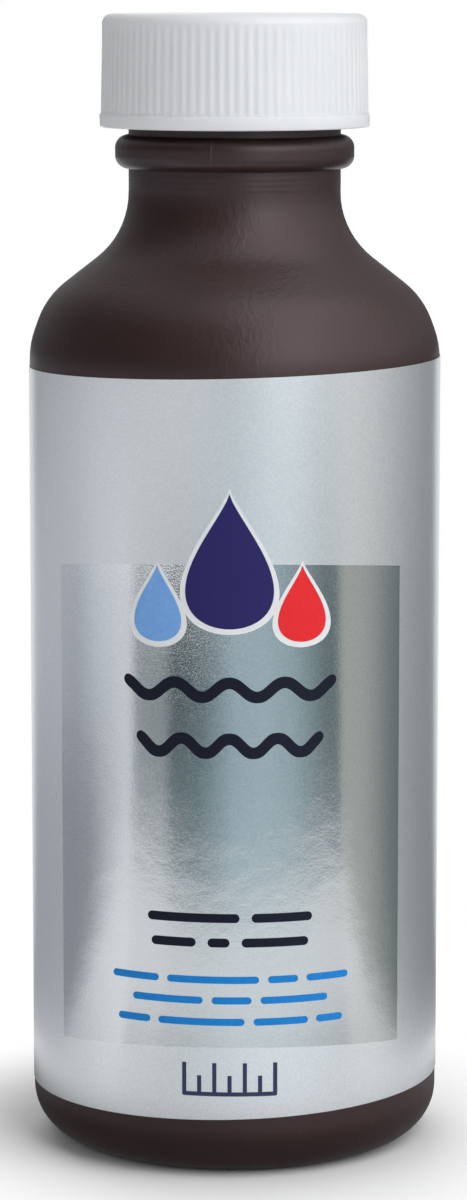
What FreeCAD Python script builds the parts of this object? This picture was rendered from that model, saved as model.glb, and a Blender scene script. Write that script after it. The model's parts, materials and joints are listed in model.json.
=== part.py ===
import FreeCAD, Part
import math
import os

# A round blow-moulded bottle for 100 ml of solution, with a ribbed screw cap, the cap's sealing liner
# and a film label wrapped once round the body.
# Millimetres. +Z is up, the origin is the middle of the ring that the bottle stands on, -Y is the front.

# Body
body_radius = 21.0
body_corner_height = 82.5  # where the straight wall would meet the shoulder if the bend were sharp
body_wall = 1.0
heel_radius = 5.0

# Base, pushed up in the middle so that the bottle stands on a ring
base_wall = 1.2
standing_ring_width = 1.5
pushup_height = 1.8
pushup_slope_width = 4.5
pushup_edge_radius = 4.0

# Shoulder: a short soft facet, then a steeper cone up to the neck; angles are from the vertical
shoulder_facet_angle = 20.0
shoulder_facet_length = 5.0
shoulder_facet_radius = 9.0
shoulder_cone_angle = 52.0
shoulder_cone_radius = 8.5

# Neck, with a round bead under the cap
neck_radius = 10.8
neck_wall = 1.7
neck_root_radius = 8.5
neck_length = 6.5  # from the corner at the shoulder cone up to the bead
bead_projection = 1.37
bead_height = 3.4
bead_edge_radius = 1.3
finish_height = 9.9  # from the bead up to the lip
lip_edge_radius = 0.45

# Thread: one start, right-handed, six turns to the inch
thread_pitch = 25.4 / 6
thread_depth = 1.05
thread_root_width = 2.1
thread_crest_width = 1.0
thread_lip_gap = 1.2  # from the lip down to the highest thread
thread_bead_gap = 1.2  # from the bead up to the lowest thread
thread_fade_angle = 50.0  # each end of the thread sinks into the wall over this turn
thread_step_angle = 15.0
thread_embed = 0.4  # how far a thread is rooted in its wall

# Cap
cap_thread_clearance = 0.25  # radial, between each crest and the wall that it faces
cap_flank_clearance = 0.2
cap_bead_gap = 0.8
cap_mouth_gap = 0.3  # from the cap's rim up to its lowest thread
cap_wall = 1.25
cap_top_wall = 1.3
cap_edge_radius = 1.0
cap_band_height = 1.25
cap_band_projection = 0.12
cap_draft = 0.1
rib_count = 88
rib_depth = 0.28
rib_share = 0.5  # of each rib's pitch that is rib, the rest is valley
rib_top_gap = 1.05  # from the top of the ribs up to the cap's top

# Liner, a disc that the cap presses on the lip
liner_thickness = 1.0
liner_clearance = 0.3

# Label, a film that laps over itself at the back
label_glue = 0.02
label_thickness = 0.1
label_bottom_gap = 1.4  # from the top of the heel's bend
label_top_gap = 0.1  # from the foot of the shoulder's bend
label_overlap = 6.0

# Heights and radii that follow
standing_ring_radius = body_radius - heel_radius
pushup_radius = standing_ring_radius - standing_ring_width
facet_bend = shoulder_facet_radius * math.tan(math.radians(shoulder_facet_angle) / 2)
straight_top = body_corner_height - facet_bend
facet_top_radius = body_radius - shoulder_facet_length * math.sin(math.radians(shoulder_facet_angle))
facet_top = body_corner_height + shoulder_facet_length * math.cos(math.radians(shoulder_facet_angle))
cone_top = facet_top + (facet_top_radius - neck_radius) / math.tan(math.radians(shoulder_cone_angle))
bead_bottom = cone_top + neck_length
bead_top = bead_bottom + bead_height
bead_radius = neck_radius + bead_projection
lip = bead_top + finish_height
thread_slope = (thread_root_width - thread_crest_width) / 2 / thread_depth
thread_seat = (
    (thread_root_width + thread_crest_width) / 2 - thread_slope * cap_thread_clearance + cap_flank_clearance
)
cap_bottom = bead_top + cap_bead_gap
cap_ceiling = lip + liner_thickness
cap_top = cap_ceiling + cap_top_wall
cap_bore = neck_radius + thread_depth + cap_thread_clearance
valley_radius = cap_bore + cap_wall
liner_radius = cap_bore - liner_clearance
label_bottom = heel_radius + label_bottom_gap
label_top = straight_top - label_top_gap
label_inner_radius = body_radius + label_glue
label_radius = label_inner_radius + label_thickness

axis = FreeCAD.Vector(0, 0, 1)
origin = FreeCAD.Vector(0, 0, 0)


def around(radius, angle, height):
    # A point at a radius and an angle in degrees from the front, turning as a right-hand thread climbs
    turn = math.radians(angle - 90)
    return FreeCAD.Vector(radius * math.cos(turn), radius * math.sin(turn), height)


def turned(corners):
    # The solid that a closed outline of (radius, height, rounding) corners sweeps about the axis
    points = [FreeCAD.Vector(radius, 0, height) for radius, height, rounding in corners]
    starts = []
    ends = []
    arcs = []
    for i, corner in enumerate(points):
        rounding = corners[i][2]
        before = (corner - points[i - 1]).normalize()
        after = (points[(i + 1) % len(points)] - corner).normalize()
        half_turn = before.getAngle(after) / 2
        reach = rounding * math.tan(half_turn)
        starts.append(corner - before * reach)
        ends.append(corner + after * reach)
        arcs.append(None)
        if rounding > 0:
            inward = (after - before).normalize()
            middle = corner + inward * (rounding / math.cos(half_turn) - rounding)
            arcs[i] = Part.Arc(starts[i], middle, ends[i]).toShape()
    edges = []
    for i in range(len(points)):
        if arcs[i]:
            edges.append(arcs[i])
        following = starts[(i + 1) % len(points)]
        if ends[i].distanceToPoint(following) > 1e-6:
            edges.append(Part.makeLine(ends[i], following))
    return Part.Face(Part.Wire(edges)).revolve(origin, axis, 360)


def inset(corners, walls):
    # The corners of an open outline moved in by the wall of each stretch, for the inside of a shell
    lines = []
    for (r0, z0, _), (r1, z1, _), wall in zip(corners, corners[1:], walls):
        length = math.hypot(r1 - r0, z1 - z0)
        along = ((r1 - r0) / length, (z1 - z0) / length)
        lines.append((r0 - along[1] * wall, z0 + along[0] * wall, along[0], along[1]))
    moved = []
    for (ra, za, ua, va), (rb, zb, ub, vb) in zip(lines, lines[1:]):
        run = ((rb - ra) * vb - (zb - za) * ub) / (ua * vb - va * ub)
        moved.append((ra + ua * run, za + va * run))
    return moved


def thread(wall_radius, outward, low, high, phase_height):
    # A trapezoid ridge on the helix that passes the front at phase_height; outward is 1 on the outside
    # of a wall and -1 on the inside. Its middle runs from low to high and both ends fade into the wall.
    first = (low - phase_height) / thread_pitch * 360
    last = (high - phase_height) / thread_pitch * 360
    steps = max(8, round((last - first) / thread_step_angle))
    root = wall_radius - outward * thread_embed
    root_half = thread_root_width / 2 + thread_slope * thread_embed
    sections = []
    for i in range(steps + 1):
        angle = first + (last - first) * i / steps
        height = phase_height + thread_pitch * angle / 360
        fade = min(1.0, min(angle - first, last - angle) / thread_fade_angle)
        depth = thread_depth * (fade * fade * (3 - 2 * fade))
        crest = wall_radius + outward * depth
        crest_half = thread_root_width / 2 - thread_slope * depth
        corners = [
            around(root, angle, height - root_half),
            around(crest, angle, height - crest_half),
            around(crest, angle, height + crest_half),
            around(root, angle, height + root_half),
        ]
        sections.append(Part.makePolygon(corners + corners[:1]))
    return Part.makeLoft(sections, True)


def bottle_body():
    shoulder = [
        (body_radius, heel_radius, 0),
        (body_radius, body_corner_height, shoulder_facet_radius),
        (facet_top_radius, facet_top, shoulder_cone_radius),
        (neck_radius, cone_top, neck_root_radius),
        (neck_radius, bead_bottom, 0),
    ]
    facet_in, cone_in, neck_in = inset(shoulder, [body_wall, body_wall, body_wall, neck_wall])
    bore = neck_radius - neck_wall
    inside = body_radius - body_wall
    pushup_flat = pushup_radius - pushup_slope_width
    floor_top = pushup_height + base_wall
    shell = turned(
        [
            (0, pushup_height, 0),
            (pushup_flat, pushup_height, pushup_edge_radius),
            (pushup_radius, 0, 0),
            (body_radius, 0, heel_radius),
            *shoulder[1:],
            (bead_radius, bead_bottom, bead_edge_radius),
            (bead_radius, bead_top, bead_edge_radius),
            (neck_radius, bead_top, 0),
            (neck_radius, lip, lip_edge_radius),
            (bore, lip, lip_edge_radius),
            (bore, neck_in[1], neck_root_radius + neck_wall),
            (*cone_in, shoulder_cone_radius - body_wall),
            (*facet_in, shoulder_facet_radius - body_wall),
            (inside, base_wall, heel_radius - body_wall),
            (pushup_radius, base_wall, 0),
            (pushup_flat, floor_top, pushup_edge_radius),
            (0, floor_top, 0),
        ]
    )
    half_root = thread_root_width / 2
    ridge = thread(
        neck_radius, 1, bead_top + thread_bead_gap + half_root, lip - thread_lip_gap - half_root, bead_top
    )
    return shell.fuse(ridge).removeSplitter()


def ribbed_outline(low_radius, height):
    # One closed loop of valleys on low_radius and round-topped ribs
    pitch = 360 / rib_count
    valley = pitch * (1 - rib_share)
    edges = []
    for i in range(rib_count):
        start = i * pitch - valley / 2
        corners = [
            around(low_radius, start, height),
            around(low_radius, start + valley / 2, height),
            around(low_radius, start + valley, height),
            around(low_radius + rib_depth, start + (valley + pitch) / 2, height),
            around(low_radius, start + pitch, height),
        ]
        edges.append(Part.Arc(*corners[:3]).toShape())
        edges.append(Part.Arc(*corners[2:]).toShape())
    return Part.Wire(edges)


def screw_cap():
    band_top = cap_bottom + cap_band_height
    rib_top = cap_top - rib_top_gap
    rib_radius = valley_radius + rib_depth
    band = Part.makeCylinder(rib_radius + cap_band_projection, cap_band_height, axis * cap_bottom, axis)
    rib_foot = ribbed_outline(valley_radius, band_top)
    rib_head = ribbed_outline(valley_radius - cap_draft, rib_top)
    ribs = Part.makeLoft([rib_foot, rib_head], True, True)
    crown = turned(
        [
            (0, rib_top, 0),
            (rib_radius - cap_draft, rib_top, 0),
            (rib_radius - cap_draft, cap_top, cap_edge_radius),
            (0, cap_top, 0),
        ]
    )
    hollow = Part.makeCylinder(cap_bore, cap_ceiling - cap_bottom, axis * cap_bottom, axis)
    half_root = thread_root_width / 2
    # The cap's thread follows the bottle's helix, one seat lower, so it draws the cap down
    ridge = thread(
        cap_bore,
        -1,
        cap_bottom + cap_mouth_gap + half_root,
        lip - thread_lip_gap - half_root - thread_seat,
        bead_top - thread_seat,
    )
    return band.fuse([ribs, crown]).cut(hollow).fuse(ridge).removeSplitter()


def cap_liner():
    return Part.makeCylinder(liner_radius, liner_thickness, axis * lip, axis)


def wrap_label():
    height = label_top - label_bottom
    foot = axis * label_bottom
    film = Part.makeCylinder(label_radius, height, foot, axis)
    lap_angle = math.degrees(label_overlap / label_radius)
    lap = Part.makeCylinder(label_radius + label_thickness, height, foot, axis, lap_angle)
    lap.rotate(origin, axis, 90 - lap_angle / 2)
    core = Part.makeCylinder(label_inner_radius, height, foot, axis)
    return film.fuse(lap).cut(core).removeSplitter()


os.makedirs("parts", exist_ok=True)
for build in (bottle_body, screw_cap, cap_liner, wrap_label):
    shape = build()
    print(build.__name__, "valid", shape.isValid(), "solids", len(shape.Solids), "volume", shape.Volume)
    shape.exportStep("parts/" + build.__name__ + ".step")
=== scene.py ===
# A round brown solution bottle with a ribbed white screw cap, its foam liner and a silver wrap label.
# Pieces are sized in millimetres and turned to metres when a mesh is made; the studio is in metres.
# Angles are in degrees, and 0 faces the front.
import json
import math

import bpy
import numpy as np
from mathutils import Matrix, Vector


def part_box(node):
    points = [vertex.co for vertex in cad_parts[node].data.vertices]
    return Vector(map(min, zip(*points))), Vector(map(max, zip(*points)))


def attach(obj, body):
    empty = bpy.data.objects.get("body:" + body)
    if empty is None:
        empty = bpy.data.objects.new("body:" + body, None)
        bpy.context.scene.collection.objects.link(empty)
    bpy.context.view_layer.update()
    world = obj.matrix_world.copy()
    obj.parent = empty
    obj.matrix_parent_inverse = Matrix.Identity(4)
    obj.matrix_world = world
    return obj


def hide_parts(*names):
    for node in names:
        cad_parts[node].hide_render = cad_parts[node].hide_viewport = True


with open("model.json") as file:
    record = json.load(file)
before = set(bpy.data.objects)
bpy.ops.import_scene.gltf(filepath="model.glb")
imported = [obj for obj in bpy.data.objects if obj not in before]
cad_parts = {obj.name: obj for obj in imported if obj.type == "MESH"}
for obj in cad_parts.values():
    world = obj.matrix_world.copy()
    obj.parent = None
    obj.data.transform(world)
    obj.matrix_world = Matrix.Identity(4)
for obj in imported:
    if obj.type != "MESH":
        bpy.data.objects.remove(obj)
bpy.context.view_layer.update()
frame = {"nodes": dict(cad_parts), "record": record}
record = frame["record"]
mm = 0.001
tiny = 1e-6  # anything smaller counts as nothing


def boxOf(node):
    low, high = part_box(node)
    return np.array(low) / mm, np.array(high) / mm


bottleHigh = boxOf("bottle_body")[1]
capLow, capHigh = boxOf("screw_cap")
linerLow, linerHigh = boxOf("cap_liner")
labelLow, labelHigh = boxOf("wrap_label")
neckMount = next(mount for mount in record["mounts"] if mount["name"] == "neck_finish")
threadPitch = record["behaviour"]["couplings"][0]["ratio"] * 2 * math.pi / mm
print("frame loaded:", ", ".join(sorted(frame["nodes"])))

# Helpers for meshes


def smooth(low, high, value):
    t = np.clip((np.asarray(value, float) - low) / (high - low), 0.0, 1.0)
    return t * t * (3 - 2 * t)


def between(low, high, step):
    return np.linspace(low, high, max(1, math.ceil((high - low) / step)) + 1)


def roundedPath(corners, arcStep=6.0):
    # corners are (radius, height, rounding, step): step splits the run that follows the corner
    points = [np.array(corner[:2], float) for corner in corners]
    path = []
    for i, (_, _, rounding, _) in enumerate(corners):
        stretch = [points[i]]
        if rounding > 0:
            before = points[i] - points[i - 1]
            after = points[i + 1] - points[i]
            before /= np.linalg.norm(before)
            after /= np.linalg.norm(after)
            turn = math.atan2(before[0] * after[1] - before[1] * after[0], before @ after)
            start = points[i] - before * rounding * math.tan(abs(turn) / 2)
            side = np.array([-before[1], before[0]]) * math.copysign(rounding, turn)
            count = max(2, math.ceil(math.degrees(abs(turn)) / arcStep))
            stretch = []
            for angle in np.linspace(0, turn, count + 1):
                c, s = math.cos(angle), math.sin(angle)
                spoke = np.array([c * -side[0] - s * -side[1], s * -side[0] + c * -side[1]])
                stretch.append(start + side + spoke)
        if path:
            run = np.linalg.norm(stretch[0] - path[-1])
            count = max(1, math.ceil(run / corners[i - 1][3] - tiny))
            first = path[-1]
            path += [first + (stretch[0] - first) * k / count for k in range(1, count)]
        path += [p for p in stretch if not path or np.linalg.norm(p - path[-1]) > tiny]
    return np.array(path)


def inset(corners, walls):
    # the corners of an open outline moved in by the wall of each run, for the inside of a shell
    lines = []
    for first, second, wall in zip(corners, corners[1:], walls):
        along = np.array(second[:2], float) - np.array(first[:2], float)
        along /= np.linalg.norm(along)
        lines.append((first[0] - along[1] * wall, first[1] + along[0] * wall, along[0], along[1]))
    moved = []
    for (ra, za, ua, va), (rb, zb, ub, vb) in zip(lines, lines[1:]):
        run = ((rb - ra) * vb - (zb - za) * ub) / (ua * vb - va * ub)
        moved.append((ra + ua * run, za + va * run))
    return moved


def latheMesh(name, radius, height, angles, material):
    # radius and height are rows by columns, with the outline running up the outside
    # a row that lies on the axis becomes one point
    rows, columns = radius.shape
    turn = np.radians(angles)
    points = np.stack([radius * np.sin(turn), -radius * np.cos(turn), height], axis=-1) * mm
    verts = []
    index = np.zeros((rows, columns), int)
    for i in range(rows):
        pole = np.all(radius[i] < tiny)
        index[i] = len(verts) if pole else len(verts) + np.arange(columns)
        verts.extend(points[i, :1] if pole else points[i])
    meanPath = np.stack([radius.mean(axis=1), height.mean(axis=1)], axis=-1)
    steps = np.linalg.norm(np.diff(meanPath, axis=0), axis=1)
    along = np.concatenate([[0], np.cumsum(steps)]) / steps.sum()
    across = np.append((angles - angles[0]) / 360.0, 1.0)
    faces = []
    uvs = []
    for i in range(rows - 1):
        for j in range(columns):
            k = (j + 1) % columns
            ring = [(i, j, j), (i, k, j + 1), (i + 1, k, j + 1), (i + 1, j, j)]
            if index[i, j] == index[i, k]:
                ring = [ring[0], ring[2], ring[3]]
            elif index[i + 1, j] == index[i + 1, k]:
                ring = ring[:3]
            faces.append([index[r, c] for r, c, _ in ring])
            uvs.extend((across[u], along[r]) for r, _, u in ring)
    mesh = bpy.data.meshes.new(name)
    mesh.from_pydata(verts, [], faces)
    layer = mesh.uv_layers.new(name="OFBake")
    layer.uv.foreach_set("vector", np.array(uvs, np.float32).ravel())
    return addPiece(name, mesh, [material])


def addPiece(name, mesh, materials, sharpAngle=38.0):
    for material in materials:
        mesh.materials.append(material)
    mesh.shade_smooth()
    mesh.set_sharp_from_angle(angle=math.radians(sharpAngle))
    mesh.update()
    piece = bpy.data.objects.new(name, mesh)
    bpy.context.scene.collection.objects.link(piece)
    print("made", name, len(mesh.polygons), "faces")
    return piece


def helixRidge(angles, heights, thread, low, high, phaseHeight):
    # how far a one-start thread stands out at each row and column; both its ends fade into the wall
    first = (low - phaseHeight) / threadPitch * 360
    last = (high - phaseHeight) / threadPitch * 360
    ridge = np.zeros((len(heights), len(angles)))
    for turnNumber in range(-2, 4):  # as many turns as the neck could hold
        along = angles + 360.0 * turnNumber
        fade = smooth(0, thread["fade"], np.minimum(along - first, last - along))
        centre = phaseHeight + threadPitch * along / 360
        away = np.abs(heights[:, None] - centre[None, :])
        slope = (thread["rootWidth"] - thread["crestWidth"]) / 2
        profile = smooth(0, 1, (thread["rootWidth"] / 2 - away) / slope)
        ridge = np.maximum(ridge, thread["depth"] * fade[None, :] * profile)
    return ridge


# Helpers for materials


def linear(hexColour):
    parts = [int(hexColour[i:i + 2], 16) / 255 for i in (1, 3, 5)]
    return [p / 12.92 if p <= 0.04045 else ((p + 0.055) / 1.055) ** 2.4 for p in parts] + [1.0]


def perMetre(sizeMm):
    return 1 / (sizeMm * mm)  # texture scale for a pattern about this wide


def addNode(tree, kind, inputs=None, **settings):
    # an input is a plain value or a (node, output) pair to link from
    # by number, a colour mix takes 0 factor, 6 and 7 colours, and a map range 1, 2 from and 3, 4 to
    node = tree.nodes.new(kind)
    for setting, value in settings.items():
        setattr(node, setting, value)
    for socket, value in (inputs or {}).items():
        if isinstance(value, tuple) and isinstance(value[0], bpy.types.Node):
            tree.links.new(value[0].outputs[value[1]], node.inputs[socket])
        else:
            node.inputs[socket].default_value = value
    return node


def startMaterial(name, sockets):
    material = bpy.data.materials.new(name)
    material.use_nodes = True
    tree = material.node_tree
    shader = tree.nodes["Principled BSDF"]
    for socket, value in sockets.items():
        shader.inputs[socket].default_value = value
    coords = addNode(tree, "ShaderNodeTexCoord")
    return material, tree, shader, coords


def feedShader(tree, shader, tint, bump, gloss=None):
    tree.links.new(tint.outputs[2], shader.inputs["Base Color"])
    tree.links.new(bump.outputs[0], shader.inputs["Normal"])
    if gloss is not None:
        tree.links.new(gloss.outputs[0], shader.inputs["Roughness"])


def hdpeBlowMoulded():
    # Blow-moulded HDPE: a satin skin with faint orange peel, long draw lines and wide soft highlights
    material, tree, shader, coords = startMaterial("hdpeBlowMoulded", {
        "IOR": 1.54, "Specular Tint": (1.0, 0.9, 0.98, 1.0)})
    # the pigment clouds over about 11 mm and the gloss over 3.5 mm
    clouds = addNode(tree, "ShaderNodeTexNoise",
                     {"Vector": (coords, "Object"), "Scale": perMetre(11), "Detail": 4.0})
    tint = addNode(tree, "ShaderNodeMix",
                   {0: (clouds, 0), 6: linear("#2A1A19"), 7: linear("#33201E")}, data_type="RGBA")
    satin = addNode(tree, "ShaderNodeTexNoise",
                    {"Vector": (coords, "Object"), "Scale": perMetre(3.5), "Detail": 3.0})
    gloss = addNode(tree, "ShaderNodeMapRange", {0: (satin, 0), 3: 0.34, 4: 0.42})
    # draw lines where the wall stretched in the mould: patches of upright wrinkles 0.5 mm apart
    drawn = addNode(tree, "ShaderNodeMapping",
                    {"Vector": (coords, "Object"), "Scale": (1.0, 1.0, 0.30)})
    lines = addNode(tree, "ShaderNodeTexNoise",
                    {"Vector": (drawn, 0), "Scale": perMetre(0.5), "Detail": 2.0, "Distortion": 0.5})
    patches = addNode(tree, "ShaderNodeTexNoise",
                      {"Vector": (coords, "Object"), "Scale": perMetre(9), "Detail": 1.0})
    worn = addNode(tree, "ShaderNodeMapRange", {0: (patches, 0), 1: 0.36, 2: 0.62, 3: 0.20, 4: 1.0})
    lineBump = addNode(tree, "ShaderNodeBump",
                       {"Height": (lines, 0), "Strength": (worn, 0), "Distance": 0.045 * mm})
    # orange peel is about 0.3 mm on the real wall and is drawn at 0.6 mm to show
    peel = addNode(tree, "ShaderNodeTexNoise",
                   {"Vector": (coords, "Object"), "Scale": perMetre(0.6), "Detail": 3.0})
    peelBump = addNode(tree, "ShaderNodeBump",
                       {"Height": (peel, 0), "Strength": 1.0, "Distance": 0.010 * mm,
                        "Normal": (lineBump, 0)})
    feedShader(tree, shader, tint, peelBump, gloss)
    return material


def ppInjectionMoulded():
    # Injection-moulded white PP: cool white, satin, a little light goes in and softens the ribs
    material, tree, shader, coords = startMaterial("ppInjectionMoulded", {
        "IOR": 1.49, "Subsurface Weight": 0.75, "Subsurface Scale": 1.1 * mm,
        "Subsurface Radius": (1.0, 0.95, 0.9)})
    # the pigment clouds over about 6 mm and the gloss over 2.2 mm
    clouds = addNode(tree, "ShaderNodeTexNoise",
                     {"Vector": (coords, "Object"), "Scale": perMetre(6), "Detail": 4.0})
    tint = addNode(tree, "ShaderNodeMix",
                   {0: (clouds, 0), 6: linear("#DFE2E6"), 7: linear("#E7E9EC")}, data_type="RGBA")
    satin = addNode(tree, "ShaderNodeTexNoise",
                    {"Vector": (coords, "Object"), "Scale": perMetre(2.2), "Detail": 3.0})
    gloss = addNode(tree, "ShaderNodeMapRange", {0: (satin, 0), 3: 0.34, 4: 0.44})
    # spark-eroded tool texture, about 0.05 mm on the real cap and drawn at 0.25 mm to show
    grain = addNode(tree, "ShaderNodeTexNoise",
                    {"Vector": (coords, "Object"), "Scale": perMetre(0.25), "Detail": 2.0})
    bump = addNode(tree, "ShaderNodeBump",
                   {"Height": (grain, 0), "Strength": 1.0, "Distance": 0.004 * mm})
    feedShader(tree, shader, tint, bump, gloss)
    return material


def foamedPolyethylene():
    # Closed-cell PE foam disc: matt off-white with small round cells
    material, tree, shader, coords = startMaterial("foamedPolyethylene", {
        "IOR": 1.5, "Roughness": 0.72})
    cells = addNode(tree, "ShaderNodeTexVoronoi",
                    {"Vector": (coords, "Object"), "Scale": perMetre(0.45)}, feature="F1")
    tint = addNode(tree, "ShaderNodeMix",
                   {0: (cells, 0), 6: linear("#D2CFC7"), 7: linear("#E9E7E1")}, data_type="RGBA")
    bump = addNode(tree, "ShaderNodeBump",
                   {"Height": (cells, 0), "Strength": 1.0, "Distance": 0.05 * mm})
    feedShader(tree, shader, tint, bump)
    return material


def metallisedFilm():
    # Vapour-coated film, pressed: bright grey metal whose fine grain frays the edges of reflections
    material, tree, shader, coords = startMaterial("metallisedFilm", {"Metallic": 1.0})
    # the grain is about 0.1 mm on the real film and is drawn at 0.22 mm to show
    grain = addNode(tree, "ShaderNodeTexNoise",
                    {"Vector": (coords, "Object"), "Scale": perMetre(0.22), "Detail": 2.0,
                     "Roughness": 0.6})
    tint = addNode(tree, "ShaderNodeMix",
                   {0: (grain, 0), 6: linear("#C9CED2"), 7: linear("#E1E4E7")}, data_type="RGBA")
    gloss = addNode(tree, "ShaderNodeMapRange", {0: (grain, 0), 3: 0.10, 4: 0.20})
    # the film lies in soft cockles a few millimetres wide, and flatter in the upper half
    cockle = addNode(tree, "ShaderNodeTexNoise",
                     {"Vector": (coords, "Object"), "Scale": perMetre(3.2), "Detail": 3.0})
    place = addNode(tree, "ShaderNodeSeparateXYZ", {0: (coords, "Object")})
    flatter = addNode(tree, "ShaderNodeMapRange",
                      {0: (place, "Z"), 1: 34 * mm, 2: 50 * mm, 3: 1.0, 4: 0.25})
    cockleBump = addNode(tree, "ShaderNodeBump",
                         {"Height": (cockle, 0), "Strength": (flatter, 0), "Distance": 0.035 * mm})
    bump = addNode(tree, "ShaderNodeBump",
                   {"Height": (grain, 0), "Strength": 1.0, "Distance": 0.006 * mm,
                    "Normal": (cockleBump, 0)})
    feedShader(tree, shader, tint, bump, gloss)
    return material


def pearlWhiteInk():
    # Pearl white screen ink over the metal film: soft silvery white with a fine flake speckle
    material, tree, shader, coords = startMaterial("pearlWhiteInk", {"Metallic": 0.82, "IOR": 1.5})
    # flakes are about 0.05 mm and are drawn at 0.22 mm to show
    flakes = addNode(tree, "ShaderNodeTexNoise",
                     {"Vector": (coords, "Object"), "Scale": perMetre(0.22), "Detail": 2.0,
                      "Roughness": 0.7})
    speckle = addNode(tree, "ShaderNodeMapRange", {0: (flakes, 0), 1: 0.42, 2: 0.58})
    tint = addNode(tree, "ShaderNodeMix",
                   {0: (speckle, 0), 6: linear("#E3E7EC"), 7: linear("#EBEFF2")}, data_type="RGBA")
    gloss = addNode(tree, "ShaderNodeMapRange", {0: (speckle, 0), 3: 0.28, 4: 0.30})
    bump = addNode(tree, "ShaderNodeBump",
                   {"Height": (flakes, 0), "Strength": 1.0, "Distance": 0.002 * mm})
    feedShader(tree, shader, tint, bump, gloss)
    return material


def screenInk(name, thin, full):
    # Screen-printed ink: nearly flat colour with the mottle that the film's grain leaves in it
    material, tree, shader, coords = startMaterial(name, {"IOR": 1.5, "Specular IOR Level": 0.2})
    mottle = addNode(tree, "ShaderNodeTexNoise",
                     {"Vector": (coords, "Object"), "Scale": perMetre(0.35), "Detail": 3.0,
                      "Roughness": 0.65})
    tint = addNode(tree, "ShaderNodeMix",
                   {0: (mottle, 0), 6: linear(thin), 7: linear(full)}, data_type="RGBA")
    gloss = addNode(tree, "ShaderNodeMapRange", {0: (mottle, 0), 3: 0.45, 4: 0.6})
    bump = addNode(tree, "ShaderNodeBump",
                   {"Height": (mottle, 0), "Strength": 1.0, "Distance": 0.004 * mm})
    feedShader(tree, shader, tint, bump, gloss)
    return material


# Bottle: one blow-moulded shell, outside and inside
bottle = {
    "wall": 1.0, "neckWall": 1.7, "baseWall": 1.2,
    "heel": 5.0, "ringWidth": 1.5, "ringRound": 0.5,
    "pushup": 1.8, "pushupSlope": 4.5, "pushupRound": 4.0,
    "facetAngle": 20.0, "facetLength": 5.0, "facetRound": 9.0,
    "coneAngle": 52.0, "coneRound": 8.5, "neckRound": 8.5, "neckLength": 6.5,
    "beadHeight": 3.4, "beadProjection": 1.37, "beadRound": 1.3, "lipRound": 0.45,
    "columns": 240,
    # the steps are how far apart rows stand along the outline
    "baseStep": 0.8, "ringStep": 0.5, "bodyStep": 3.0, "shoulderStep": 0.6, "neckStep": 0.14,
    "beadStep": 0.3, "threadStep": 0.16, "lipStep": 0.4, "insideStep": 2.0, "insideBodyStep": 6.0,
    "seamAngle": -11.5,  # the mould's parting line, and its other half behind
    "seamHeight": 0.05, "seamWidth": 0.10,
    "seamColumns": (0.2, 0.45, 0.7, 1.0),  # extra columns, in degrees to each side of the line
    "seamFaint": 0.06, "seamClear": (-0.4, 0.1),  # share left below the bead, and where it grows
    "seamFoot": (0.8, 2.5), "seamLip": (-0.8, -0.3),  # it fades above the floor and below the lip
    "seamLimit": 0.001,  # it stays this far inside the body's wall, under the label
    "ringHeight": 0.007, "ringGap": 0.55, "ringZone": 3.8,  # faint rings on the neck under the bead
    "ringStart": (0.2, 0.6), "ringEnd": 1.2,
    "ringWaver": (0.6, 0.4, 3, 1.1),  # mean, swing, waves round, phase
    "weldHeight": 0.18, "weldWidth": 0.45, "weldReach": (6.0, 8.5),
    "ripple": 0.022, "rippleStart": 4.0, "rippleEnd": (-2.0, -0.5),  # uneven shoulder and neck
    "swells": [  # share, waves round, turn in radians per mm of height, phase
        (0.5, 5, 0.31, 0.0), (0.35, 11, -0.53, 1.7), (0.3, 3, 0.9, 0.6), (0.25, 17, 0.8, 2.1),
    ],
}
bottleThread = {
    "depth": 1.05, "rootWidth": 2.1, "crestWidth": 1.0, "lipGap": 1.2, "beadGap": 1.2,
    "fade": 50.0,  # degrees
}

bodyRadius = round(bottleHigh[0], 2)
lipHeight = bottleHigh[2]
neckRadius = neckMount["dims"]["r_mm"] - bottleThread["depth"]
beadTop = lipHeight - neckMount["dims"]["length_mm"]
beadBottom = beadTop - bottle["beadHeight"]
coneTop = beadBottom - bottle["neckLength"]
facetTurn = math.radians(bottle["facetAngle"])
facetRadius = bodyRadius - bottle["facetLength"] * math.sin(facetTurn)
facetTop = coneTop - (facetRadius - neckRadius) / math.tan(math.radians(bottle["coneAngle"]))
bodyCorner = facetTop - bottle["facetLength"] * math.cos(facetTurn)
neckBore = neckRadius - bottle["neckWall"]


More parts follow.
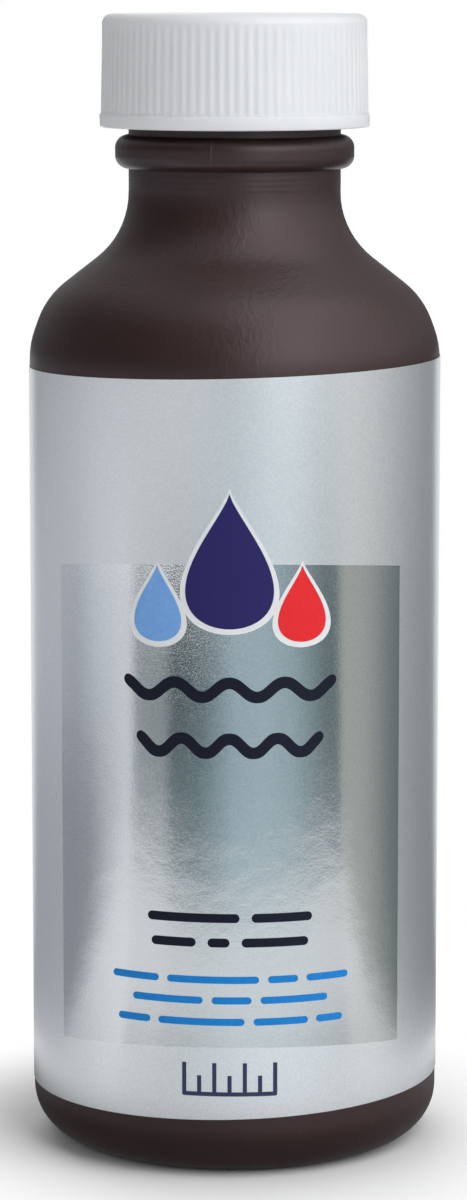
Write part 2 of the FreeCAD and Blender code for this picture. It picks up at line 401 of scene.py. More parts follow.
def bottleOutline():
    b = bottle
    beadRadius = neckRadius + b["beadProjection"]
    ringRadius = bodyRadius - b["heel"] - b["ringWidth"]
    flatRadius = ringRadius - b["pushupSlope"]
    base, wide, fine = b["baseStep"], b["bodyStep"], b["shoulderStep"]
    bead, inner = b["beadStep"], b["insideStep"]
    shoulder = [
        (bodyRadius, b["heel"], 0, wide),
        (bodyRadius, bodyCorner, b["facetRound"], fine),
        (facetRadius, facetTop, b["coneRound"], fine),
        (neckRadius, coneTop, b["neckRound"], b["neckStep"]),
        (neckRadius, beadBottom, 0, fine),
    ]
    walls = [b["wall"], b["wall"], b["wall"], b["neckWall"]]
    facetIn, coneIn, neckIn = inset(shoulder, walls)
    outside = [
        (0, b["pushup"], 0, base),
        (flatRadius, b["pushup"], b["pushupRound"], base),
        (ringRadius, 0, b["ringRound"], b["ringStep"]),
        (bodyRadius, 0, b["heel"], wide),
        *shoulder[1:],
        (beadRadius, beadBottom, b["beadRound"], bead),
        (beadRadius, beadTop, b["beadRound"], bead),
        (neckRadius, beadTop, 0, b["threadStep"]),
        (neckRadius, lipHeight, b["lipRound"], b["lipStep"]),
        (neckBore, lipHeight, b["lipRound"], inner),
        (neckBore, neckIn[1], b["neckRound"] + b["neckWall"], inner),
        (*coneIn, b["coneRound"] - b["wall"], inner),
        (*facetIn, b["facetRound"] - b["wall"], b["insideBodyStep"]),
        (bodyRadius - b["wall"], b["baseWall"], b["heel"] - b["wall"], inner),
        (ringRadius, b["baseWall"], b["ringRound"], inner),
        (flatRadius, b["pushup"] + b["baseWall"], b["pushupRound"], inner),
        (0, b["pushup"] + b["baseWall"], 0, inner),
    ]
    return roundedPath(outside)


def bottleShell():
    b = bottle
    path = bottleOutline()
    seams = np.array([b["seamAngle"], b["seamAngle"] + 180.0])
    spacing = 360.0 / b["columns"]
    extra = np.concatenate([seams + side * offset for offset in b["seamColumns"] for side in (-1, 1)])
    even = b["seamAngle"] + spacing * np.arange(b["columns"])
    angles = np.mod(np.concatenate([even, extra]) + 180.0, 360.0) - 180.0
    angles = np.unique(np.round(angles, decimals=4))
    radius = np.repeat(path[:, :1], len(angles), axis=1)
    height = np.repeat(path[:, 1:], len(angles), axis=1)
    lip = int(np.argmax(path[:, 1]))
    outer = (np.arange(len(path)) <= lip)[:, None]
    onAxis = radius < tiny

    # low unevenness of the shoulder and neck, none under the label, on the bead or on the thread
    turn = np.radians(angles)[None, :]
    fromBead = height - beadBottom
    zone = smooth(bodyCorner, bodyCorner + b["rippleStart"], height)
    zone *= 1 - smooth(*b["rippleEnd"], fromBead)
    swell = sum(share * np.sin(waves * turn + rise * height + phase)
                for share, waves, rise, phase in b["swells"])
    radius = radius + np.where(outer & ~onAxis, b["ripple"] * zone * swell, 0)

    # parting line up the outside, worn to almost nothing under the label
    away = np.min([np.abs(np.mod(angles - seam + 180, 360) - 180) for seam in seams], axis=0)
    offLine = np.radians(away)[None, :] * radius
    clear = smooth(*b["seamClear"], fromBead)
    line = b["seamHeight"] * np.exp(-(offLine / b["seamWidth"]) ** 2)
    line *= b["seamFaint"] + (1 - b["seamFaint"]) * clear
    line *= smooth(*b["seamFoot"], height) * (1 - smooth(*b["seamLip"], height - lipHeight))

    # faint rings on the neck, which come and go round it
    below = -fromBead
    ringed = smooth(*b["ringStart"], below)
    ringed *= 1 - smooth(b["ringZone"] - b["ringEnd"], b["ringZone"], below)
    mean, swing, waves, phase = b["ringWaver"]
    waver = mean + swing * np.sin(waves * turn + phase)
    line += b["ringHeight"] * ringed * waver * (1 + np.sin(2 * math.pi * below / b["ringGap"]))
    under = radius + line > bodyRadius - b["seamLimit"]
    radius = np.where(outer & ~onAxis, np.where(under, radius, radius + line), radius)

    # weld left across the push-up where the mould pinched the tube shut
    across = radius * np.abs(np.sin(np.radians(angles - b["seamAngle"])))[None, :]
    weld = b["weldHeight"] * np.exp(-(across / b["weldWidth"]) ** 2)
    weld *= 1 - smooth(*b["weldReach"], radius)
    heelStart = np.argmax(path[:, 0] > bodyRadius - b["heel"])
    underside = (np.arange(len(path)) < heelStart)[:, None]
    height = height - np.where(underside, np.where(onAxis, b["weldHeight"], weld), 0)

    half = bottleThread["rootWidth"] / 2
    ridge = helixRidge(angles, path[:, 1], bottleThread, beadTop + bottleThread["beadGap"] + half,
                       lipHeight - bottleThread["lipGap"] - half, beadTop)
    radius = radius + np.where(outer, ridge, 0)
    piece = latheMesh("bottleShell", radius, height, angles, hdpeBlowMoulded())
    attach(piece, "bottle")
    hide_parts("bottle_body")


# Cap: ribbed outside, smooth band at the rim, thread inside
cap = {
    "ribs": 88, "ribDepth": 0.085, "ribFull": 0.5, "ribFade": 1.7, "ribTopGap": 0.5, "draft": 0.15,
    "bandHeight": 1.25, "bandDrop": 0.16, "bandEase": 0.14, "bandTaper": 0.05,
    "edgeRound": 1.0, "rimRound": 0.22, "boreRound": 0.5, "softRound": 0.1,
    "dish": 0.06, "dishRadius": 3.0, "gateRadius": 1.1, "gateSlope": 0.3, "gateHeight": 0.05,
    "boreClearance": 0.3, "mouthGap": 0.3, "flankClearance": 0.2, "crestClearance": 0.25,
    # the steps are how far apart rows stand, with fine ones where the ribs begin and fade
    "fineStep": 0.16, "fineLow": 0.7, "fineHigh": 0.3, "sideStep": 1.0, "threadStep": 0.25,
    "ceilingStep": 3.0, "boreStep": 0.6, "rimStep": 0.5, "bandStep": 0.4, "topStep": 1.5,
    "dishStep": 0.6, "gateSteps": (0.2, 0.3), "arcStep": 10.0,
}
# where the columns of one rib stand along its pitch, and how high the rib is there; a valley is at 0
ribPhase = np.array([0.0, 0.14, 0.25, 0.36, 0.5, 0.64, 0.75, 0.86])
ribShape = np.array([0.0, 0.10, 0.48, 0.88, 1.0, 0.88, 0.48, 0.10])


def screwCap():
    c = cap
    rim, top = capLow[2], capHigh[2]
    ceiling = linerHigh[2]
    bore = linerHigh[0] + c["boreClearance"]
    bandRadius = round(capHigh[0], 2)
    ribRadius = bandRadius - c["bandDrop"]
    topRadius = ribRadius - c["draft"]
    bandTop = rim + c["bandHeight"]
    ribStart = bandTop + c["bandEase"]
    ribEnd = top - c["ribTopGap"]
    dishLevel = top - c["dish"]
    gateLevel = dishLevel + c["gateHeight"]
    fine, soft = c["fineStep"], c["softRound"]
    slopeStep, gateStep = c["gateSteps"]
    path = roundedPath([
        (0, ceiling, 0, c["ceilingStep"]),
        (bore, ceiling, c["boreRound"], c["boreStep"]),
        (bore, lipHeight - bottleThread["lipGap"], 0, c["threadStep"]),
        (bore, rim, c["rimRound"], c["rimStep"]),
        (bandRadius - c["bandTaper"], rim, c["rimRound"], c["bandStep"]),
        (bandRadius, bandTop, soft, fine),
        (ribRadius, ribStart, 0, fine),
        (ribRadius, bandTop + c["fineLow"], 0, c["sideStep"]),
        (topRadius, ribEnd - c["ribFade"] - c["fineHigh"], 0, fine),
        (topRadius, top, c["edgeRound"], c["topStep"]),
        (c["dishRadius"], dishLevel, 0, c["dishStep"]),
        (c["gateRadius"], dishLevel, soft, slopeStep),
        (c["gateRadius"] - c["gateSlope"], gateLevel, soft, gateStep),
        (0, gateLevel, 0, gateStep),
    ], c["arcStep"])
    pitch = 360.0 / c["ribs"]
    angles = (np.arange(c["ribs"])[:, None] * pitch + ribPhase[None, :] * pitch).ravel() - 180.0
    radius = np.repeat(path[:, :1], len(angles), axis=1)
    height = np.repeat(path[:, 1:], len(angles), axis=1)
    outside = (np.arange(len(path)) > np.argmin(path[:, 1]))[:, None]
    depth = c["ribDepth"] * smooth(ribStart, bandTop + c["ribFull"], height)
    depth *= 1 - smooth(ribEnd - c["ribFade"], ribEnd, height)
    valley = 1 - np.tile(ribShape, c["ribs"])[None, :]
    radius = radius - np.where(outside, depth * valley, 0)

    # the cap's thread follows the bottle's helix one seat lower, so it draws the cap down
    slope = (bottleThread["rootWidth"] - bottleThread["crestWidth"]) / 2 / bottleThread["depth"]
    seat = (bottleThread["rootWidth"] + bottleThread["crestWidth"]) / 2
    seat += c["flankClearance"] - slope * c["crestClearance"]
    half = bottleThread["rootWidth"] / 2
    ridge = helixRidge(angles, path[:, 1], bottleThread, rim + c["mouthGap"] + half,
                       lipHeight - bottleThread["lipGap"] - half - seat, beadTop - seat)
    boreRows = (np.abs(path[:, 0] - bore) < tiny)[:, None]
    radius = radius - np.where(boreRows, ridge, 0)
    piece = latheMesh("screwCap", radius, height, angles, ppInjectionMoulded())
    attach(piece, "cap")
    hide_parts("screw_cap")


# Liner: the foam disc in the cap, with the ring that the lip has pressed into it
liner = {
    "edgeRound": 0.25, "dentDepth": 0.06, "dentEase": 0.5,
    "columns": 144, "dentStep": 0.25, "edgeStep": 0.3, "topStep": 2.0,
}


def capLiner():
    edge = linerHigh[0]
    path = roundedPath([
        (0, linerLow[2], 0, liner["dentStep"]),
        (edge, linerLow[2], liner["edgeRound"], liner["edgeStep"]),
        (edge, linerHigh[2], liner["edgeRound"], liner["topStep"]),
        (0, linerHigh[2], 0, liner["topStep"]),
    ])
    angles = np.arange(liner["columns"]) * 360.0 / liner["columns"]
    radius = np.repeat(path[:, :1], len(angles), axis=1)
    height = np.repeat(path[:, 1:], len(angles), axis=1)
    ease = liner["dentEase"]
    dent = smooth(neckBore - ease, neckBore, radius)
    dent *= 1 - smooth(neckRadius, neckRadius + ease, radius)
    below = height < (linerLow[2] + linerHigh[2]) / 2
    height = height + np.where(below, liner["dentDepth"] * dent, 0)
    piece = latheMesh("capLiner", radius, height, angles, foamedPolyethylene())
    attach(piece, "liner")
    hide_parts("cap_liner")


# Label: a metal film wrapped once round, pearl white all over but for a bare silver window in front
label = {
    "glue": 0.02, "film": 0.06, "lap": 6.0, "lapLift": 0.11, "lapEase": 4.0,  # the ease is in degrees
    "angleStep": 1.5, "lapStep": 0.5, "heightStep": 3.0,
    "windowCentre": -2.1, "windowHalf": 53.7,  # degrees round
    "windowLow": 13.8, "windowHigh": 62.55,
    "archLow": 1.2, "archHigh": 1.24,  # the window's edges are this much lower at its corners
    "skew": 0.55,  # the label went on a little crooked, higher on the right
}
filmInner = bodyRadius + label["glue"]
filmOuter = filmInner + label["film"]


def wrapLabel(silver, pearl):
    lapHalf = math.degrees(label["lap"] / 2 / filmOuter)
    left = label["windowCentre"] - label["windowHalf"]
    right = label["windowCentre"] + label["windowHalf"]
    end = 180.0 + lapHalf
    lapStart = 180 - lapHalf
    liftStart = lapStart - label["lapEase"]
    stops = [-end, left, right, liftStart, lapStart, end]
    steps = [label["angleStep"]] * 3 + [label["lapStep"], label["angleStep"]]
    angles = np.unique(np.concatenate([between(a, b, s) for a, b, s in zip(stops, stops[1:], steps)]))
    floors = [labelLow[2], label["windowLow"], label["windowHigh"], labelHigh[2]]
    levels = [between(a, b, label["heightStep"]) for a, b in zip(floors, floors[1:])]
    heights = np.unique(np.concatenate(levels))
    lift = label["lapLift"] * smooth(liftStart, lapStart, angles)
    turn = np.radians(angles)
    fromMiddle = np.clip(angles - label["windowCentre"], -label["windowHalf"], label["windowHalf"])
    arch = (1 - np.cos(np.radians(fromMiddle))) / (1 - math.cos(math.radians(label["windowHalf"])))
    arched = np.interp(heights, floors, [0, -label["archLow"], -label["archHigh"], 0])
    skewed = np.interp(heights, floors, [label["skew"], 0, 0, label["skew"]])
    level = heights[:, None] + arched[:, None] * arch[None, :]
    level = level + skewed[:, None] * np.sin(turn)[None, :]
    verts = []
    for base in (filmInner, filmOuter):
        ring = np.stack([(base + lift) * np.sin(turn), -(base + lift) * np.cos(turn)], axis=-1)
        verts += [(x * mm, y * mm, z * mm) for row in level for (x, y), z in zip(ring, row)]
    rows, columns = len(heights), len(angles)
    outer = rows * columns
    faces = []
    bare = []
    for i in range(rows - 1):
        for j in range(columns - 1):
            p = i * columns + j
            quad = [p, p + 1, p + columns + 1, p + columns]
            faces.append([outer + v for v in quad])
            middle = (angles[j] + angles[j + 1]) / 2
            height = (heights[i] + heights[i + 1]) / 2
            bare.append(left < middle < right and label["windowLow"] < height < label["windowHigh"])
            faces.append(quad[::-1])
            bare.append(True)
    loop = list(range(columns))  # round the film's cut edge
    loop += [i * columns + columns - 1 for i in range(1, rows)]
    loop += [(rows - 1) * columns + j for j in range(columns - 2, -1, -1)]
    loop += [i * columns for i in range(rows - 2, 0, -1)]
    for p, q in zip(loop, loop[1:] + loop[:1]):
        faces.append([p, q, outer + q, outer + p])
        bare.append(True)
    mesh = bpy.data.meshes.new("wrapLabel")
    mesh.from_pydata(verts, [], faces)
    piece = addPiece("wrapLabel", mesh, [pearl, silver])
    mesh.polygons.foreach_set("material_index", np.array(bare, np.int32))
    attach(piece, "bottle")
    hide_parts("wrap_label")


# Print: plain drops, waves, rules and a small scale, each a thin skin of ink on the label
ink = {
    "sink": 0.01, "underLayer": 0.02, "layer": 0.038, "middle": -1.4,  # degrees round
    "columnStep": 0.4, "waveStep": 0.15,
    "endColumns": 6, "endStart": 0.12,  # columns of a round end, from this angle in radians
    "outline": 0.55, "dropPoints": 400, "dropTaper": 1.6,
    "dropStrips": 49, "dropTrim": 0.9995,  # the outermost stop just short, so that they have a height
    "bigDrop": {"across": 0.0, "centre": 60.5, "radius": 4.4, "tall": 13.4},
    "sideDrops": {"across": 7.3, "centre": 57.2, "radius": 2.5, "tall": 7.6},
    "waves": [  # across, height, length, thickness, swing, wave length
        (0.0, 50.0, 22.0, 1.15, 0.72, 5.5),
        (0.0, 44.4, 19.2, 1.15, 0.72, 4.8),
    ],
    "rules": [  # height, thickness, then the lengths along the line with one gap between each
        (27.0, 0.9, (9.4, 6.2), 1.2),
        (24.5, 0.9, (4.6, 2.2, 6.8), 1.2),
    ],
    "fineRules": [
        (20.7, 0.72, (5.2, 9.3, 3.1, 4.6), 0.9),
        (18.6, 0.72, (7.4, 4.0, 7.0), 0.9),
        (16.4, 0.72, (3.6, 8.8, 5.6, 2.9), 0.9),
    ],
    "scale": {"height": 9.0, "length": 9.6, "line": 0.42, "ticks": 7, "tall": 3.2, "short": 1.9},
}


def dropColumns(across, centre, radius, tall, grow=0.0):
    # a drop with its point up: round below, narrowing to the tip
    t = np.linspace(0.0, math.pi, ink["dropPoints"])
    x = np.sin(t) * np.sin(t / 2) ** ink["dropTaper"]
    x = x / x.max() * (radius + grow)
    y = centre - radius + tall / 2 + np.cos(t) * (tall / 2 + grow)
    widest = int(np.argmax(x))
    spread = np.sin(np.linspace(-math.pi / 2, math.pi / 2, ink["dropStrips"]))
    offsets = (radius + grow) * spread * ink["dropTrim"]
    high = np.interp(np.abs(offsets), x[:widest + 1], y[:widest + 1])
    low = np.interp(-np.abs(offsets), -x[widest:], y[widest:])
    return np.stack([across + offsets, low, high], axis=-1)


def endOffsets(half):
    # how far in from a round end its columns stand
    turns = np.linspace(ink["endStart"], math.pi / 2, ink["endColumns"] + 1)
    return half * (1 - np.cos(turns))[:-1]


def endHeights(half, reach):
    # half the height of a band this far in from its round end
    return np.sqrt(np.maximum(half ** 2 - (half - reach) ** 2, tiny))


def barColumns(across, height, length, thick):
    # a rule with round ends
    half = thick / 2
    ends = endOffsets(half)
    start = across - length / 2
    middle = between(start + half, start + length - half, ink["columnStep"])
    offsets = np.concatenate([start + ends, middle, start + length - ends[::-1]])
    reach = np.minimum(np.minimum(offsets - start, start + length - offsets), half)
    tall = endHeights(half, reach)
    return np.stack([offsets, height - tall, height + tall], axis=-1)


def waveColumns(across, height, length, thick, swing, wave):
    # a wavy band of even thickness with round ends
    half = thick / 2
    offsets = np.concatenate([endOffsets(half), between(half, length / 2, ink["waveStep"])])
    offsets = np.concatenate([-length / 2 + offsets, (length / 2 - offsets)[::-1][1:]])
    reach = np.minimum(length / 2 - np.abs(offsets), half)
    steep = 2 * math.pi * swing / wave * np.sin(2 * math.pi * offsets / wave)
    tall = endHeights(half, reach) * np.sqrt(1 + steep ** 2)
    middle = height + swing * np.cos(2 * math.pi * offsets / wave)
    return np.stack([across + offsets, middle - tall, middle + tall], axis=-1)


def ruleColumns(height, thick, lengths, gap):
    total = sum(lengths) + gap * (len(lengths) - 1)
    start = -total / 2
    bars = []
    for length in lengths:
        bars.append(barColumns(start + length / 2, height, length, thick))
        start += length + gap
    return bars


def scaleColumns(height, length, line, ticks, tall, short):
    # a plain measuring scale: a base line with long and short ticks
    bars = [barColumns(0.0, height, length, line)]
    for i in range(ticks):
        across = -length / 2 + line / 2 + (length - line) * i / (ticks - 1)
        rise = tall if i % 2 == 0 else short
        edges = (across - line / 2, across + line / 2)
        bars.append(np.array([[edge, height, height + rise] for edge in edges]))
    return bars


def inkPiece(name, patches, layer, material):
    # each patch is rows of (along the label, low, high); it becomes a closed skin on the film
    perColumn = 4  # low and high, inside and outside
    verts = []
    faces = []
    for patch in patches:
        first = len(verts)
        for across, low, high in patch:
            turn = across / filmOuter + math.radians(ink["middle"])
            for radius in (filmOuter - ink["sink"], filmOuter + layer):
                x, y = radius * math.sin(turn), -radius * math.cos(turn)
                verts += [(x * mm, y * mm, low * mm), (x * mm, y * mm, high * mm)]
        last = len(verts) - perColumn
        for p in range(first, last, perColumn):
            q = p + perColumn
            faces += [(p + 2, q + 2, q + 3, p + 3), (p, p + 1, q + 1, q)]
            faces += [(p + 1, p + 3, q + 3, q + 1), (p, q, q + 2, p + 2)]
        faces += [(first, first + 2, first + 3, first + 1), (last + 2, last, last + 1, last + 3)]
    mesh = bpy.data.meshes.new(name)
    mesh.from_pydata(verts, [], faces)
    piece = addPiece(name, mesh, [material])
    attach(piece, "bottle")


def labelPrint():
    big = ink["bigDrop"]
    side = ink["sideDrops"]
    left = dict(side, across=-side["across"])
    white = screenInk("whiteScreenInk", "#DDE1E4", "#E9ECEE")
    navy = screenInk("navyScreenInk", "#1F1A55", "#29246A")
    nearBlack = screenInk("deepNavyScreenInk", "#080C1C", "#10162B")
    red = screenInk("redScreenInk", "#DC1A22", "#EC2A2E")
    sky = screenInk("skyBlueScreenInk", "#0672C4", "#148CDC")
    pale = screenInk("paleBlueScreenInk", "#5E97DA", "#86B3EA")
    grey = screenInk("greyNavyScreenInk", "#2B3050", "#3C4262")
    outlines = [dropColumns(**drop, grow=ink["outline"]) for drop in (big, side, left)]
    inkPiece("dropOutlines", outlines, ink["underLayer"], white)
    inkPiece("navyDrop", [dropColumns(**big)], ink["layer"], navy)
    inkPiece("redDrop", [dropColumns(**side)], ink["layer"], red)
    inkPiece("paleDrop", [dropColumns(**left)], ink["layer"], pale)
    inkPiece("waveBands", [waveColumns(*wave) for wave in ink["waves"]], ink["layer"], nearBlack)
    rules, fineRules = ([bar for rule in ink[kind] for bar in ruleColumns(*rule)]
                        for kind in ("rules", "fineRules"))
    inkPiece("navyRules", rules, ink["layer"], nearBlack)
    inkPiece("skyRules", fineRules, ink["layer"], sky)
    inkPiece("volumeScale", scaleColumns(**ink["scale"]), ink["layer"], grey)


bottleShell()
screwCap()
capLiner()
wrapLabel(metallisedFilm(), pearlWhiteInk())
labelPrint()

# Studio: pale floor, white surroundings, soft boxes and cards that only reflections see
studio = {
    "floorRadius": 6.0, "floorSides": 96, "floorDrop": 0.00005, "floorColour": "#FCFCFC",
    "floorWhite": (0.021, 0.042),  # the paper turns pure white between these distances
    "ambient": 0.27, "target": (0.0, 0.0, 0.06),
    "softboxes": [  # name, azimuth, elevation, distance, width, height, level
        ("keySoftbox", 50.0, 40.0, 1.0, 0.9, 1.15, 0.80),
        ("fillSoftbox", -25.0, 25.0, 1.2, 0.6, 0.6, 0.08),
        ("topSoftbox", 150.0, 78.0, 1.1, 0.8, 0.6, 0.05),
        ("backSoftbox", -165.0, 38.0, 1.2, 0.9, 0.7, 0.30),
    ],
    "cardHeight": 0.0002, "cardReach": (0.0177, 2.0), "cardRows": 72, "cardTurn": 3.0,
    "cardEase": 0.085,  # a tone comes in over this distance from where it starts
    "veil": (0.52, 0.16), "veilReach": (0.055, 0.11),  # least share of it, near and far
    "footShade": (0.032, 0.05),  # the ring of painted shade round the foot, a dark stretch of floor card that only reflections see, ends between these distances
    "footTones": [(-150.0, 0.10), (20.0, 0.12), (80.0, 0.22), (150.0, 0.24)],  # azimuth, tone
    "farReach": (0.19, 0.32), "ringReach": (0.49, 0.66, 0.80, 1.05),  # a bright ring far out
    # azimuth, tone that bare metal shows, its factor further off, where it starts, the ring's tone
    "floorTones": [
        (-150.0, (0.32, 0.34, 0.37), 1.5, 0.0, 0.20), (-115.0, (0.34, 0.35, 0.38), 1.5, 0.0, 0.65),
        (-97.0, (0.32, 0.33, 0.36), 1.5, 0.005, 1.05), (-84.0, (0.35, 0.36, 0.39), 1.8, 0.045, 1.25),
        (-72.0, (0.56, 0.57, 0.60), 1.3, 0.09, 1.30), (-58.5, (0.82, 0.82, 0.85), 1.0, 0.13, 1.38),
        (-54.5, (0.34, 0.37, 0.38), 0.9, 0.14, 2.20), (-37.5, (0.31, 0.34, 0.35), 0.75, 0.13, 2.85),
        (-33.5, (0.11, 0.165, 0.175), 0.3, 0.12, 3.00),
        (-19.0, (0.155, 0.235, 0.255), 0.5, 0.105, 2.95),
        (0.0, (0.40, 0.52, 0.57), 0.95, 0.10, 1.40), (16.0, (0.44, 0.56, 0.60), 1.0, 0.10, 0.30),
        (31.0, (0.36, 0.48, 0.51), 1.0, 0.11, 0.05), (50.0, (0.14, 0.19, 0.20), 1.0, 0.135, 0.22),
        (58.0, (0.12, 0.17, 0.18), 1.0, 0.125, 0.38), (59.2, (0.47, 0.48, 0.44), 1.0, 0.115, 0.40),
        (74.0, (0.44, 0.45, 0.42), 1.0, 0.04, 0.42), (92.0, (0.22, 0.24, 0.24), 1.1, 0.005, 0.45),
        (115.0, (0.11, 0.13, 0.13), 1.0, 0.0, 0.32), (150.0, (0.12, 0.13, 0.14), 1.0, 0.0, 0.10),
    ],
    "domeRadius": 1.3, "domeSteps": (5.0, 4.0), "domeRise": (30.0, 72.0),
    "crown": 0.75, "crownRise": (78.0, 90.0),
    "skirt": (0.0, 16.0, 0.36),  # the walls dim to this share from the upper elevation down
    "domeTones": [  # azimuth, tone low and high on the walls: a broad bright scrim on the right
        (-172.0, 0.45, 0.45), (-140.0, 0.28, 0.48), (-100.0, 0.10, 0.54), (-60.0, 0.05, 0.64),
        (-25.0, 0.06, 0.74), (0.0, 0.22, 1.05), (10.0, 1.05, 1.40), (22.0, 2.50, 1.75),
        (36.0, 2.50, 1.90), (60.0, 1.55, 2.05), (90.0, 1.12, 1.80), (110.0, 0.68, 1.35),
        (135.0, 0.32, 0.90), (160.0, 0.25, 0.65), (172.0, 0.30, 0.55),
    ],
}
camera = {
    "distance": 0.420, "height": 0.119, "pitch": 8.55,
    "lens": 123.2, "sensor": 36.0, "shift": (-0.0010, 0.0), "clip": (0.01, 50.0),
}


def addStage(name, verts, faces, material):
    mesh = bpy.data.meshes.new(name)
    mesh.from_pydata(verts, [], faces)
    mesh.materials.append(material)
    piece = bpy.data.objects.new(name, mesh)
    bpy.context.scene.collection.objects.link(piece)
    return piece


def whiteRays(tree):
    # 1 for rays from the camera, off a glossy surface or through a clear one, which should see white
    path = addNode(tree, "ShaderNodeLightPath")
    glossy = addNode(tree, "ShaderNodeMath",
                     {0: (path, "Is Camera Ray"), 1: (path, "Is Glossy Ray")}, operation="MAXIMUM")
    return addNode(tree, "ShaderNodeMath",
                   {0: (glossy, 0), 1: (path, "Is Transmission Ray")}, operation="MAXIMUM")


def paperFloor():
    # Seamless studio paper: matt and nearly white, with faint fibres; pure white away from the bottle
    material, tree, shader, coords = startMaterial("seamlessPaper", {
        "Base Color": linear(studio["floorColour"]), "Roughness": 0.9, "Specular IOR Level": 0.0})
    fibre = addNode(tree, "ShaderNodeTexNoise",
                    {"Vector": (coords, "Object"), "Scale": perMetre(1.5), "Detail": 3.0})
    bump = addNode(tree, "ShaderNodeBump",
                   {"Height": (fibre, 0), "Strength": 0.2, "Distance": 0.02 * mm})
    tree.links.new(bump.outputs[0], shader.inputs["Normal"])
    away = addNode(tree, "ShaderNodeVectorMath", {0: (coords, "Object")}, operation="LENGTH")
    near, far = studio["floorWhite"]
    whiten = addNode(tree, "ShaderNodeMapRange",
                     {0: (away, "Value"), 1: near, 2: far}, interpolation_type="SMOOTHSTEP")
    share = addNode(tree, "ShaderNodeMath",
                    {0: (whiteRays(tree), 0), 1: (whiten, 0)}, operation="MULTIPLY")
    white = addNode(tree, "ShaderNodeEmission", {"Color": (1, 1, 1, 1), "Strength": 1.0})
    mix = addNode(tree, "ShaderNodeMixShader", {0: (share, 0), 1: (shader, 0), 2: (white, 0)})
    tree.links.new(mix.outputs[0], tree.nodes["Material Output"].inputs["Surface"])
    return material


def addFloor():
    radius, sides = studio["floorRadius"], studio["floorSides"]
    turns = [2 * math.pi * i / sides for i in range(sides)]
    rim = [(radius * math.cos(turn), radius * math.sin(turn), -studio["floorDrop"]) for turn in turns]
    addStage("studioFloor", rim, [tuple(range(sides))], paperFloor())


def addCard(name, rows, azimuths, place, tone, material):
    verts = [place(row, azimuth) for row in rows for azimuth in azimuths]
    count = len(azimuths)
    faces = [(i * count + j, i * count + j + 1, (i + 1) * count + j + 1, (i + 1) * count + j)
             for i in range(len(rows) - 1) for j in range(count - 1)]
    card = addStage(name, verts, faces, material)
    tones = np.array([tone(row, azimuth) for row in rows for azimuth in azimuths], np.float32)
    layer = card.data.color_attributes.new("tone", "FLOAT_COLOR", "POINT")
    layer.data.foreach_set("color", tones.ravel())
    card.visible_camera = False
    card.visible_diffuse = False
    card.visible_transmission = False
    card.visible_volume_scatter = False
    card.visible_shadow = False


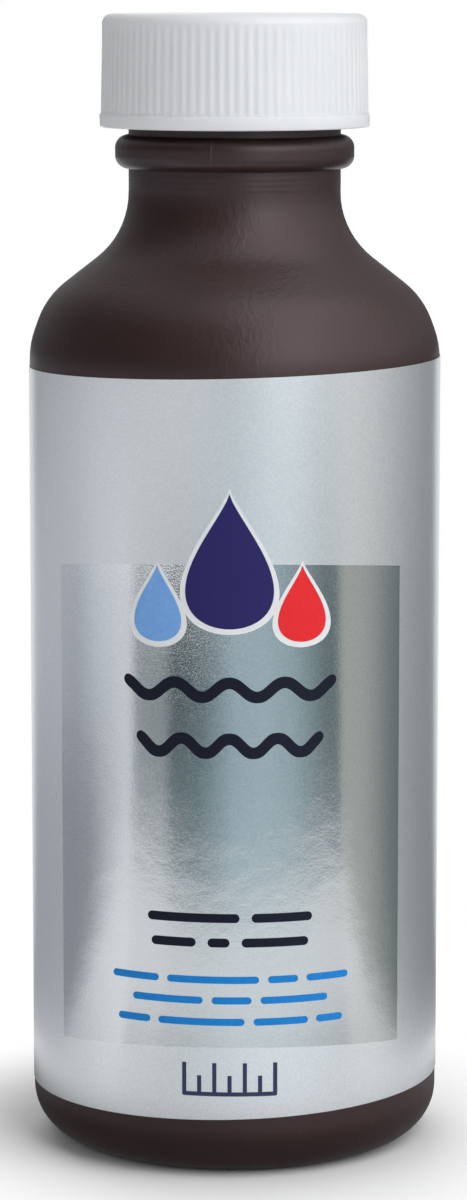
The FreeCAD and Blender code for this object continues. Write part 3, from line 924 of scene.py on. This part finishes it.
def reflectionCards():
    # what the silver and the brown plastic mirror: toned card on the floor, walls with a gap behind
    material = bpy.data.materials.new("reflectionCard")
    material.use_nodes = True
    tree = material.node_tree
    tree.nodes.clear()
    tone = addNode(tree, "ShaderNodeVertexColor", layer_name="tone")
    light = addNode(tree, "ShaderNodeEmission", {"Color": (tone, "Color"), "Strength": 1.0})
    clear = addNode(tree, "ShaderNodeBsdfTransparent")
    mix = addNode(tree, "ShaderNodeMixShader", {0: (tone, "Alpha"), 1: (clear, 0), 2: (light, 0)})
    addNode(tree, "ShaderNodeOutputMaterial", {"Surface": (mix, 0)})

    stops = studio["floorTones"]
    at = [stop[0] for stop in stops]
    spans = [between(a, b, studio["cardTurn"]) for a, b in zip(at, at[1:])]
    azimuths = np.unique(np.concatenate(spans))

    def floorPlace(distance, azimuth):
        turn = math.radians(azimuth)
        return distance * math.sin(turn), -distance * math.cos(turn), studio["cardHeight"]

    def floorTone(distance, azimuth):
        # painted shade: close to the foot the card is a dark ring, so the heel mirrors shade instead
        # of the white floor
        near = 1 - float(smooth(*studio["footShade"], distance))
        if near > 0:
            shade = np.interp(azimuth, *zip(*studio["footTones"]))
            return (shade, shade, shade, near)
        far, start = (np.interp(azimuth, at, [stop[k] for stop in stops]) for k in (2, 3))
        factor = 1 + (far - 1) * float(smooth(*studio["farReach"], distance))
        colour = [factor * np.interp(azimuth, at, [stop[1][k] for stop in stops]) for k in range(3)]
        inner, full, fall, outer = studio["ringReach"]
        ring = float(smooth(inner, full, distance) * (1 - smooth(fall, outer, distance)))
        ringTone = np.interp(azimuth, at, [stop[4] for stop in stops])
        colour = [c + (ringTone - c) * ring for c in colour]
        nearVeil, farVeil = studio["veil"]
        veil = nearVeil + (farVeil - nearVeil) * float(smooth(*studio["veilReach"], distance))
        share = max(veil, float(smooth(start, start + studio["cardEase"], distance)))
        return (*colour, share)

    distances = np.geomspace(*studio["cardReach"], studio["cardRows"])
    addCard("floorCard", distances, azimuths, floorPlace, floorTone, material)

    walls = studio["domeTones"]
    around = [wall[0] for wall in walls]

    def domePlace(elevation, azimuth):
        turn, rise = math.radians(azimuth), math.radians(elevation)
        flat = studio["domeRadius"] * math.cos(rise)
        return flat * math.sin(turn), -flat * math.cos(turn), studio["domeRadius"] * math.sin(rise)

    def domeTone(elevation, azimuth):
        low, high = (np.interp(azimuth, around, [wall[k] for wall in walls]) for k in (1, 2))
        tone = low + (high - low) * smooth(*studio["domeRise"], elevation)
        bottom, top, dim = studio["skirt"]
        tone *= dim + (1 - dim) * smooth(bottom, top, elevation)
        tone += (studio["crown"] - tone) * smooth(*studio["crownRise"], elevation)
        return (tone, tone, tone, 1.0)

    riseStep, turnStep = studio["domeSteps"]
    elevations = between(0.0, 90.0, riseStep)
    turns = between(around[0], around[-1], turnStep)
    addCard("studioWalls", elevations, turns, domePlace, domeTone, material)


def addSoftbox(name, azimuth, elevation, distance, width, height, level):
    lamp = bpy.data.lights.new(name, "AREA")
    lamp.shape = "RECTANGLE"
    lamp.size, lamp.size_y = width, height
    lamp.energy = math.pi ** 2 * level * distance ** 2  # level 1 lights a white sheet to white
    box = bpy.data.objects.new(name, lamp)
    turn, rise = math.radians(azimuth), math.radians(elevation)
    x, y, z = studio["target"]
    box.location = (x + distance * math.sin(turn) * math.cos(rise),
                    y - distance * math.cos(turn) * math.cos(rise), z + distance * math.sin(rise))
    box.rotation_euler = (math.pi / 2 - rise, 0, turn)
    box.visible_camera = False
    box.visible_glossy = False  # the toned walls are what reflections see
    bpy.context.scene.collection.objects.link(box)


def addWorld():
    world = bpy.data.worlds.new("studioWhite")
    world.use_nodes = True
    tree = world.node_tree
    background = tree.nodes["Background"]
    background.inputs["Color"].default_value = (1, 1, 1, 1)
    level = addNode(tree, "ShaderNodeMapRange",
                    {0: (whiteRays(tree), 0), 3: studio["ambient"], 4: 1.0})
    tree.links.new(level.outputs[0], background.inputs["Strength"])
    bpy.context.scene.world = world


def addCamera():
    lens = bpy.data.cameras.new("productCamera")
    lens.sensor_width = camera["sensor"]
    lens.lens = camera["lens"]
    lens.shift_x, lens.shift_y = camera["shift"]
    lens.clip_start, lens.clip_end = camera["clip"]
    seer = bpy.data.objects.new("productCamera", lens)
    seer.location = (0.0, -camera["distance"], camera["height"])
    seer.rotation_euler = (math.radians(90 - camera["pitch"]), 0.0, 0.0)
    bpy.context.scene.collection.objects.link(seer)
    bpy.context.scene.camera = seer


addFloor()
reflectionCards()
for softbox in studio["softboxes"]:
    addSoftbox(*softbox)
addWorld()
addCamera()
bpy.context.scene.view_settings.view_transform = "Standard"
print("studio ready")
